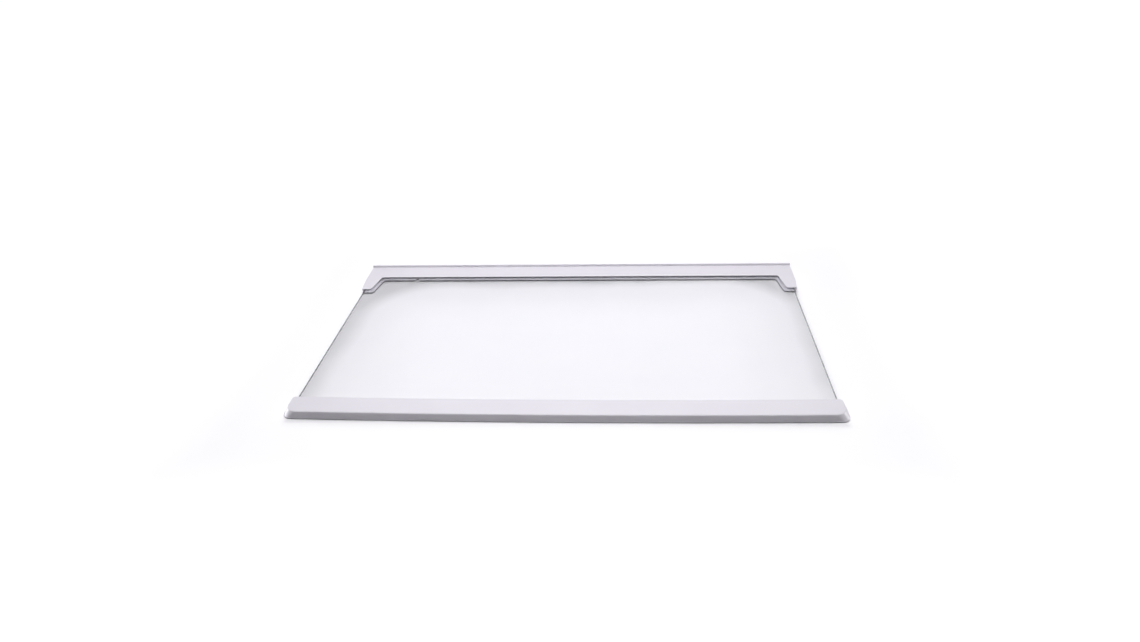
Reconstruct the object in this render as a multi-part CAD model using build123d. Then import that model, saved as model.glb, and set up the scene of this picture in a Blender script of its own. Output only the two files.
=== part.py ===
from build123d import *
import math
import os

# Glass shelf for a refrigerator: a clear toughened pane, a moulded front trim and a moulded rear trim.
# Millimetres. X runs across the shelf, +Y to the rear of the cabinet, Z up from the trims' undersides.

# Pane
glass_width = 470.0
glass_depth = 296.0
glass_thickness = 4.0
glass_corner_radius = 3.0
glass_edge_seam = 0.4
front_bow = 2.9

# Fit of the pane in both trims
edge_gap = 0.5
side_gap = 0.4
grip_gap = 0.2
lower_lip_thickness = 2.0

# Grip ribs moulded under the upper lips, which press the pane onto the lower lips
rib_count = 9
rib_pitch = 50.0
rib_width = 2.0
rib_length = 11.0
rib_setback = 4.0

# Front trim
front_wall = 3.0
front_cover = 24.0
front_lower_cover = 20.0
front_lip_thickness = 1.8
front_end_reach = 6.6
front_end_slope = 3.7
front_rim_height = 1.5
front_rim_ledge = 0.35
front_foot_corner_radius = 7.5
front_base_corner_radius = 8.0
front_crown_corner_radius = 11.0
front_back_corner_radius = 3.0
front_top_round = 1.0
front_foot_round = 0.7

# Rear trim
rear_wall = 3.0
rear_cover = 28.2
rear_lip_thickness = 1.1
rear_lip_edge = 0.45
rear_lip_bevel = 2.0
rear_end_wall = 4.4
rear_corner_radius = 0.7
ear_depth = 58.7
ear_taper = 1.9
ear_taper_length = 22.0
ear_taper_radius = 50.0
ear_tip_width = 10.5
ear_sweep = 5.0
ear_tip_radius = 0.9
ear_nose_radius = 2.5
ear_root_radius = 2.5
flange_reach = 2.9
flange_edge = 0.4
flange_root = 1.1
foot_setback = 5.0
rear_top_round = 0.25
rear_foot_round = 0.5

# Stop lip along the rear edge
stop_height = 2.4
stop_thickness = 1.6
stop_round = 0.6

# Notch in the front edge of the rear trim's lower flange
notch_from_centre = 181.7
notch_width = 3.5
notch_depth = 4.5

# Derived positions
overall_depth = glass_depth + 2 * edge_gap + front_wall + rear_wall
y_nose = -overall_depth / 2
y_rear = overall_depth / 2
glass_half = glass_width / 2
pocket_half = glass_half + side_gap
z_glass = lower_lip_thickness
z_flange_edge = z_glass - flange_edge
z_flange_root = z_glass - flange_root
z_grip = z_glass + glass_thickness
z_pocket_top = z_grip + grip_gap
z_front_top = z_pocket_top + front_lip_thickness
z_rear_top = z_pocket_top + rear_lip_thickness
z_rear_edge = z_rear_top - rear_lip_edge
bow_radius = (glass_half**2 + front_bow**2) / (2 * front_bow)


def bow(y_middle, half_width):
    """The front's gentle forward bow as an arc from left to right."""
    fall = bow_radius - math.sqrt(bow_radius**2 - half_width**2)
    left = (-half_width, y_middle + fall)
    right = (half_width, y_middle + fall)
    return ThreePointArc(left, (0, y_middle), right)


def bowed_plan(y_front, y_back, half_width):
    """Plan between two bowed edges, with straight ends."""
    front = bow(y_front, half_width)
    back = bow(y_back, half_width)
    right = Line(front @ 1, back @ 1)
    left = Line(back @ 0, front @ 0)
    return make_face([front, right, back, left])


def raised(plan, z, height):
    """A plan extruded upwards from height z."""
    return extrude(Pos(0, 0, z) * plan, height)


def grip_ribs(y_start):
    """Row of low ribs across the shelf that fill the gap between the upper lip and the pane."""
    rib = Box(rib_width, rib_length, grip_gap, align=(Align.CENTER, Align.MIN, Align.MIN))
    row = GridLocations(rib_pitch, 0, rib_count, 1)
    return [Pos(0, y_start, z_grip) * place * rib for place in row]


def glass_pane():
    """Toughened pane with a bowed front edge, rounded corners and seamed edges."""
    front = bow(y_nose + front_wall + edge_gap, glass_half)
    y_back = y_rear - rear_wall - edge_gap
    right = Line(front @ 1, (glass_half, y_back))
    back = Line(right @ 1, (-glass_half, y_back))
    left = Line(back @ 1, front @ 0)
    plan = make_face([front, right, back, left])
    plan = fillet(plan.vertices(), glass_corner_radius)
    pane = raised(plan, z_glass, glass_thickness)
    rims = pane.faces().sort_by(Axis.Z)[0].edges() + pane.faces().sort_by(Axis.Z)[-1].edges()
    return chamfer(rims, glass_edge_seam)


def front_plan(setback, inset, corner_radius):
    """Front trim's outline at one height, with its nose set back and its ends drawn in."""
    half_width = pocket_half + front_end_reach - inset
    plan = bowed_plan(y_nose + setback, y_nose + front_cover, half_width)
    plan = fillet(plan.vertices().sort_by(Axis.Y)[:2], corner_radius)
    return fillet(plan.vertices().sort_by(Axis.Y)[-2:], front_back_corner_radius)


def front_trim():
    """Bowed channel with closed, sloping ends that stands on a low rim."""
    foot = front_plan(0, 0, front_foot_corner_radius)
    base = Pos(0, 0, front_rim_height) * front_plan(front_rim_ledge, front_rim_ledge, front_base_corner_radius)
    crown = Pos(0, 0, z_front_top) * front_plan(front_rim_ledge, front_end_slope, front_crown_corner_radius)
    body = raised(foot, 0, front_rim_height) + loft([base, crown], ruled=True)
    body = fillet(body.faces().sort_by(Axis.Z)[-1].edges(), front_top_round)
    body = fillet(body.faces().sort_by(Axis.Z)[0].edges(), front_foot_round)
    pocket_plan = bowed_plan(y_nose + front_wall, y_nose + 2 * front_cover, pocket_half)
    pocket_plan = fillet(pocket_plan.vertices().sort_by(Axis.Y)[:2], glass_corner_radius)
    body -= raised(pocket_plan, z_glass, z_pocket_top - z_glass)
    relief_plan = bowed_plan(y_nose + front_lower_cover, y_nose + 2 * front_cover, pocket_half)
    body -= raised(relief_plan, 0, z_glass)
    return body + grip_ribs(y_nose + front_wall + rib_setback)


def rear_plan(reach):
    """Rear trim's outline with its two ears, its front edge moved forward by the reach."""
    end_x = pocket_half + rear_end_wall
    y_front = y_rear - rear_cover - reach
    y_ear = y_rear - ear_depth - reach
    y_taper = y_rear - ear_depth + ear_taper_length
    tip_x = end_x - ear_taper * (y_taper - y_ear) / ear_taper_length
    nose_x = end_x - ear_taper - ear_tip_width - reach
    root_x = nose_x - ear_sweep
    right = [(root_x, y_front), (nose_x, y_ear), (tip_x, y_ear), (end_x, y_taper), (end_x, y_rear)]
    left = [(-x, y) for x, y in reversed(right)]
    rounds = [ear_root_radius, ear_nose_radius, ear_tip_radius, ear_taper_radius, rear_corner_radius]
    outline = FilletPolyline(*right, *left, radius=rounds + rounds[::-1], close=True)
    return make_face(outline)


def rear_trim():
    """Channel with forward ears, a bevelled upper lip, a thin lower flange over a set-back foot, and a stop lip."""
    foot_plan = rear_plan(flange_reach - foot_setback)
    flange_plan = rear_plan(flange_reach)
    throat_plan = rear_plan(-rear_lip_bevel)
    upper_plan = rear_plan(0)
    foot = raised(foot_plan, 0, z_flange_root)
    foot = fillet(foot.faces().sort_by(Axis.Z)[0].edges(), rear_foot_round)
    taper = loft([Pos(0, 0, z_flange_root) * foot_plan, Pos(0, 0, z_flange_edge) * flange_plan], ruled=True)
    flange = raised(flange_plan, z_flange_edge, flange_edge)
    wall = raised(throat_plan, z_glass, z_pocket_top - z_glass)
    bevel = loft([Pos(0, 0, z_pocket_top) * throat_plan, Pos(0, 0, z_rear_edge) * upper_plan], ruled=True)
    crown = raised(upper_plan, z_rear_edge, rear_lip_edge)
    strip = Pos(0, y_rear) * Rectangle(2 * glass_width, 2 * stop_thickness)
    stop = raised(upper_plan & strip, z_rear_top, stop_height)
    stop = fillet(stop.faces().sort_by(Axis.Z)[-1].edges(), stop_round)
    body = foot + taper + flange + wall + bevel + crown + stop
    y_stop = y_rear - stop_thickness
    rim = body.edges().filter_by_position(Axis.Z, z_rear_top, z_rear_top)
    rim = rim.filter_by(lambda edge: edge.center().Y < y_stop - stop_round)
    body = fillet(rim, rear_top_round)
    y_pocket = y_rear - rear_wall
    pocket_plan = Pos(0, y_pocket) * Rectangle(2 * pocket_half, 2 * ear_depth, align=(Align.CENTER, Align.MAX))
    body -= raised(pocket_plan, z_glass, z_pocket_top - z_glass)
    y_flange = y_rear - rear_cover - flange_reach
    notch_plan = Pos(-notch_from_centre, y_flange) * Rectangle(notch_width, 2 * notch_depth)
    body -= raised(notch_plan, z_flange_root, flange_root)
    return body + grip_ribs(y_pocket - rib_setback - rib_length)


os.makedirs("parts", exist_ok=True)
export_step(glass_pane(), "parts/glass_pane.step")
export_step(front_trim(), "parts/front_trim.step")
export_step(rear_trim(), "parts/rear_trim.step")
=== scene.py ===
import math

import bpy
from mathutils import Matrix, Vector


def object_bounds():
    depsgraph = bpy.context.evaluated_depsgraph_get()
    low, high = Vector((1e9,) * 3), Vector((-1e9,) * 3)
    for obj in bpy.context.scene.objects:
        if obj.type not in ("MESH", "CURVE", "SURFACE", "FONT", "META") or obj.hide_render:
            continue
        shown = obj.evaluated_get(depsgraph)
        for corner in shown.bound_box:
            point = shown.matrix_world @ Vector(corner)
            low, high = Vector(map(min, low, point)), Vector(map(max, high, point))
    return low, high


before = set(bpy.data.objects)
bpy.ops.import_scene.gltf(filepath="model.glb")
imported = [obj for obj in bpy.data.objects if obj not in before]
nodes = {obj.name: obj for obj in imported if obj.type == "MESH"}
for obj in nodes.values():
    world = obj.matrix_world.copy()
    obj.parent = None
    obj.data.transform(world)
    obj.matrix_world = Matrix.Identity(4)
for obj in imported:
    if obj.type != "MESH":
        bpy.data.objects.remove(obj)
cad_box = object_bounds()
scene = bpy.context.scene

# Film of air between the pane and the seats it lies on, in metres
air_film = 0.00005

# Floor and backdrop, in metres. Within the shelf's footprint, less a small inset, the paper's glow is left
# out and its bounce is darker, which paints shade under the shelf.
shade_half_width = cad_box[1][0] - 0.006
shade_half_depth = cad_box[1][1] - 0.0005
shade_edge = 0.006
floor_size = 16.0
backdrop_height = 3.4
backdrop_white_height = 2.2

# Lamps, in metres and watts
top_panel_place = (0.03, -0.17, 1.0)
top_panel_size = (0.8, 0.65)
top_panel_watts = 9.4
side_panel_distance = 1.3
side_panel_depth = 0.12
side_panel_height = 0.08
side_panel_size = (0.3, 0.14)
left_panel_watts = 7.0
right_panel_watts = 3.6

# Card behind the shelf that the pane mirrors, in metres and radians
card_place = (-0.07, 0.91, 0.6)
card_turn = 0.036
card_size = (1.163, 0.92)
card_corner = 0.22
card_edge = 0.05
card_margin = 0.2
card_strength = 1.7

# Camera at the photo's angle: metres, degrees, millimetres of sensor, and the photo's own pixels
camera_place = (0.0577, -0.7402, 0.4126)
camera_yaw = 4.466
camera_pitch = 28.09
camera_roll = 2.177
sensor_width = 36.0
focal_pixels = 849.9
photo_width_pixels = 1140


class Tree:
    """A new material and short ways to add and join its nodes."""

    def __init__(self, name):
        self.material = bpy.data.materials.new(name)
        self.material.use_nodes = True
        self.nt = self.material.node_tree
        self.nt.nodes.clear()
        self.output = self.nt.nodes.new("ShaderNodeOutputMaterial")

    def node(self, kind, links=None, **settings):
        """Adds a node. Settings are its properties; links maps an input to a value or to a socket."""
        n = self.nt.nodes.new(kind)
        for key, value in settings.items():
            setattr(n, key, value)
        for key, value in (links or {}).items():
            if isinstance(value, bpy.types.NodeSocket):
                self.nt.links.new(value, n.inputs[key])
            else:
                n.inputs[key].default_value = value
        return n

    def place(self):
        """The point on the surface, in the object's own metres."""
        return self.node("ShaderNodeTexCoord").outputs["Object"]

    def axes(self, vector):
        """The three parts of a vector."""
        return self.node("ShaderNodeSeparateXYZ", {"Vector": vector}).outputs

    def noise(self, where, scale, detail, rough=0.5):
        """Seedless noise from 0 to 1."""
        n = self.node("ShaderNodeTexNoise", {
            "Vector": where, "Scale": scale, "Detail": detail, "Roughness": rough})
        return n.outputs["Fac"]

    def spread(self, value, old, new):
        """Maps the old range of a value onto a new one and holds it at both ends."""
        n = self.node("ShaderNodeMapRange", {
            "Value": value, "From Min": old[0], "From Max": old[1], "To Min": new[0], "To Max": new[1]})
        return n.outputs["Result"]

    def calc(self, kind, a, b=0.0):
        """One step of arithmetic."""
        return self.node("ShaderNodeMath", {0: a, 1: b}, operation=kind).outputs[0]

    def beyond(self, along, half):
        """How far a point lies past a half length, on either side of the middle. It is below 0 inside."""
        return self.calc("SUBTRACT", self.calc("ABSOLUTE", along), half)

    def blend(self, factor, a, b):
        """A colour between two colours."""
        n = self.node("ShaderNodeMix", {"Factor": factor, "A": a, "B": b}, data_type="RGBA")
        return n.outputs["Result"]

    def add(self, a, b):
        """The light of two shaders together."""
        return self.node("ShaderNodeAddShader", {0: a, 1: b}).outputs["Shader"]

    def finish(self, shader, volume=None):
        """Joins the shaders to the output and gives the material."""
        self.nt.links.new(shader, self.output.inputs["Surface"])
        if volume:
            self.nt.links.new(volume, self.output.inputs["Volume"])
        return self.material


def plastic():
    """White moulded plastic with a cool cast: faint flow clouds, fine mould grain and uneven gloss."""
    t = Tree("white_plastic")
    where = t.place()
    cloud = t.spread(t.noise(where, scale=14.0, detail=4.0), (0.35, 0.65), (0.0, 1.0))
    tint = t.blend(cloud, (0.804, 0.778, 0.842, 1), (0.826, 0.802, 0.862, 1))
    rub = t.noise(where, scale=60.0, detail=5.0, rough=0.6)
    gloss = t.spread(rub, (0.3, 0.7), (0.30, 0.40))
    grain = t.noise(where, scale=2600.0, detail=2.0)
    bump = t.node("ShaderNodeBump", {"Height": grain, "Strength": 0.05, "Distance": 0.0002})
    p = t.node("ShaderNodeBsdfPrincipled", {
        "Base Color": tint, "Roughness": gloss, "IOR": 1.48, "Normal": bump.outputs["Normal"]})
    return t.finish(p.outputs["BSDF"])


def glass():
    """Clear toughened glass with wiped smears on its faces and ground edges, whose near-black tint paints
    the shade seen in them. Lamps shine through it.
    """
    t = Tree("clear_glass")
    wipe = t.node("ShaderNodeMapping", {
        "Vector": t.place(), "Rotation": (0, 0, 0.5), "Scale": (1.0, 4.0, 1.0)})
    smear = t.noise(wipe.outputs["Vector"], scale=9.0, detail=5.0, rough=0.6)
    face_gloss = t.spread(smear, (0.45, 0.75), (0.0, 0.035))
    smear_share = t.spread(smear, (0.4, 0.7), (0.0, 1.0))
    face_tint = t.blend(smear_share, (1.0, 0.995, 1.0, 1), (0.985, 0.98, 0.995, 1))
    normal = t.node("ShaderNodeNewGeometry").outputs["True Normal"]
    level = t.calc("ABSOLUTE", t.axes(normal)["Z"])
    ground_edge_painted_dark = t.spread(level, (0.90, 0.80), (0.0, 1.0))
    # Near-black tint on the ground edges: painted shade for the dark edge lines; their roughness is the real
    # grinding
    tint = t.blend(ground_edge_painted_dark, face_tint, (0.005, 0.006, 0.006, 1))
    gloss = t.calc("MAXIMUM", face_gloss, t.calc("MULTIPLY", ground_edge_painted_dark, 0.55))
    p = t.node("ShaderNodeBsdfPrincipled", {
        "Base Color": tint, "Roughness": gloss, "IOR": 1.5, "Transmission Weight": 1.0})
    path = t.node("ShaderNodeLightPath").outputs
    lamp_rays = t.calc("MAXIMUM", path["Is Shadow Ray"], path["Is Diffuse Ray"])
    through = t.node("ShaderNodeBsdfTransparent", {"Color": (0.96, 0.965, 0.965, 1)})
    both = t.node("ShaderNodeMixShader", {0: lamp_rays, 1: p.outputs["BSDF"], 2: through.outputs["BSDF"]})
    body = t.node("ShaderNodeVolumeAbsorption", {"Color": (0.80, 0.84, 0.86, 1), "Density": 9.0})
    return t.finish(both.outputs["Shader"], body.outputs["Volume"])


def studio_paper():
    """Pale paper that glows white for seen rays where it is open and dims high up. Within the shelf's
    footprint the glow is left out and the paper is darker for bounce rays, which paints shade under the
    shelf.
    """
    t = Tree("studio_paper")
    where = t.place()
    x, y, z = t.axes(where)
    past = t.calc("MAXIMUM", t.beyond(x, shade_half_width), t.beyond(y, shade_half_depth))
    open_floor = (0.0, shade_edge)
    fibre = t.noise(where, scale=900.0, detail=2.0)
    paper = t.blend(fibre, (0.884, 0.876, 0.900, 1), (0.924, 0.916, 0.940, 1))
    path = t.node("ShaderNodeLightPath").outputs
    # Paper colour for bounce rays, much darker within the footprint: painted shade that keeps the trims'
    # lower faces and the gaps at the rear lip dark
    painted_shade_bounce = t.spread(past, open_floor, (0.28, 0.62))
    diffuse = t.node("ShaderNodeBsdfDiffuse", {"Color": t.blend(path["Is Diffuse Ray"], paper, painted_shade_bounce)})
    mirrored = t.calc("MAXIMUM", path["Is Glossy Ray"], path["Is Transmission Ray"])
    seen = t.calc("MAXIMUM", path["Is Camera Ray"], mirrored)
    # Glow for seen rays, left out within the footprint: painted shade under the shelf
    near = t.spread(past, open_floor, (0.0, 0.18))
    far = t.spread(past, (0.05, 0.5), (0.0, 0.82))
    backdrop_middle = backdrop_height / 2
    dim = t.spread(z, (backdrop_white_height - backdrop_middle, backdrop_middle), (1.0, 0.0))
    glow = t.calc("MULTIPLY", t.calc("ADD", near, far), dim)
    e = t.node("ShaderNodeEmission", {"Color": (1, 1, 1, 1), "Strength": t.calc("MULTIPLY", seen, glow)})
    return t.finish(t.add(diffuse.outputs["BSDF"], e.outputs["Emission"]))


def card_glow():
    """Soft glow with rounded corners that fades at the card's edge and towards its far end."""
    t = Tree("card_glow")
    where = t.place()
    x, y, _ = t.axes(where)
    half_width, half_depth = card_size[0] / 2, card_size[1] / 2
    past_x = t.calc("MAXIMUM", t.beyond(x, half_width - card_corner), 0.0)
    past_y = t.calc("MAXIMUM", t.beyond(y, half_depth - card_corner), 0.0)
    square = t.calc("ADD", t.calc("MULTIPLY", past_x, past_x), t.calc("MULTIPLY", past_y, past_y))
    wave = t.spread(t.noise(where, scale=3.0, detail=2.0), (0.3, 0.7), (-0.015, 0.015))
    reach = t.calc("ADD", t.calc("SQRT", square), wave)
    rim = t.spread(reach, (card_corner, card_corner - card_edge), (0.0, 0.6))
    rise = t.spread(reach, (card_corner, 0.0), (0.0, 0.4))
    fall = t.spread(y, (-half_depth, half_depth), (1.10 * card_strength, 0.88 * card_strength))
    glow = t.calc("MULTIPLY", t.calc("ADD", rim, rise), fall)
    e = t.node("ShaderNodeEmission", {"Color": (1.0, 0.98, 1.05, 1), "Strength": glow})
    sheet = t.node("ShaderNodeBsdfTransparent")
    return t.finish(t.add(sheet.outputs["BSDF"], e.outputs["Emission"]))


def staged(name, material):
    """Names the mesh that was added last and gives it its material."""
    item = bpy.context.object
    item.name = name
    item.data.materials.append(material)
    return item


def soft_light(name, place, aim, size, watts):
    """A rectangular area lamp at a place, aimed at a point."""
    data = bpy.data.lights.new(name, "AREA")
    data.shape = "RECTANGLE"
    data.size, data.size_y = size
    data.energy = watts
    lamp = bpy.data.objects.new(name, data)
    lamp.location = place
    lamp.rotation_euler = (Vector(aim) - Vector(place)).to_track_quat("-Z", "Y").to_euler()
    scene.collection.objects.link(lamp)
    return lamp


# Surfaces
white, clear = plastic(), glass()
for name, material in (("glass_pane", clear), ("front_trim", white), ("rear_trim", white)):
    mesh = nodes[name].data
    mesh.materials.clear()
    mesh.materials.append(material)

# Without the film, light can't pass between the pane and the seats that it touches
film = nodes["glass_pane"].modifiers.new("air_film", "DISPLACE")
film.mid_level = 0.0
film.strength = -air_film

# Floor, and a round backdrop at its edge that closes the horizon
paper = studio_paper()
bpy.ops.mesh.primitive_plane_add(size=floor_size, location=(0, 0, 0))
staged("floor", paper)
bpy.ops.mesh.primitive_cylinder_add(
    vertices=96, radius=floor_size / 2, depth=backdrop_height, location=(0, 0, backdrop_height / 2),
    end_fill_type="NOTHING")
staged("backdrop", paper)

# Overhead panel, which the pane doesn't mirror
top_aim = (top_panel_place[0], top_panel_place[1], 0)
panel = soft_light("panel_top", top_panel_place, top_aim, top_panel_size, top_panel_watts)
panel.visible_glossy = False
panel.visible_transmission = False

# Weak side panels
side_aim = (0, side_panel_depth, side_panel_height)
for name, side, watts in (("panel_left", -1, left_panel_watts), ("panel_right", 1, right_panel_watts)):
    side_place = (side * side_panel_distance, side_panel_depth, side_panel_height)
    soft_light(name, side_place, side_aim, side_panel_size, watts)

# Level card behind the shelf, which the camera doesn't see and the pane mirrors
bpy.ops.mesh.primitive_plane_add(size=1.0, location=card_place, rotation=(0, 0, card_turn))
card = staged("card_back", card_glow())
card.visible_camera = False
for v in card.data.vertices:
    v.co = (v.co.x * (card_size[0] + card_margin), v.co.y * (card_size[1] + card_margin), 0)

# Weak cool fill from all round
world = bpy.data.worlds.new("studio")
world.use_nodes = True
background = world.node_tree.nodes["Background"]
background.inputs["Color"].default_value = (0.93, 0.94, 1.0, 1)
background.inputs["Strength"].default_value = 0.05
scene.world = world

# Camera
yaw = math.radians(camera_yaw)
pitch = math.radians(camera_pitch)
roll = math.radians(camera_roll)
right = Vector((math.cos(yaw), math.sin(yaw), 0))
ahead = Vector((-math.sin(yaw) * math.cos(pitch), math.cos(yaw) * math.cos(pitch), -math.sin(pitch)))
down = ahead.cross(right)
across = right * math.cos(roll) + down * math.sin(roll)
below = down * math.cos(roll) - right * math.sin(roll)
turned = Matrix((across, -below, -ahead)).transposed().to_4x4()
camera = bpy.data.objects.new("camera", bpy.data.cameras.new("camera"))
camera.data.sensor_width = sensor_width
camera.data.lens = sensor_width * focal_pixels / photo_width_pixels
camera.matrix_world = Matrix.Translation(camera_place) @ turned
scene.collection.objects.link(camera)
scene.camera = camera

scene.view_settings.view_transform = "Standard"
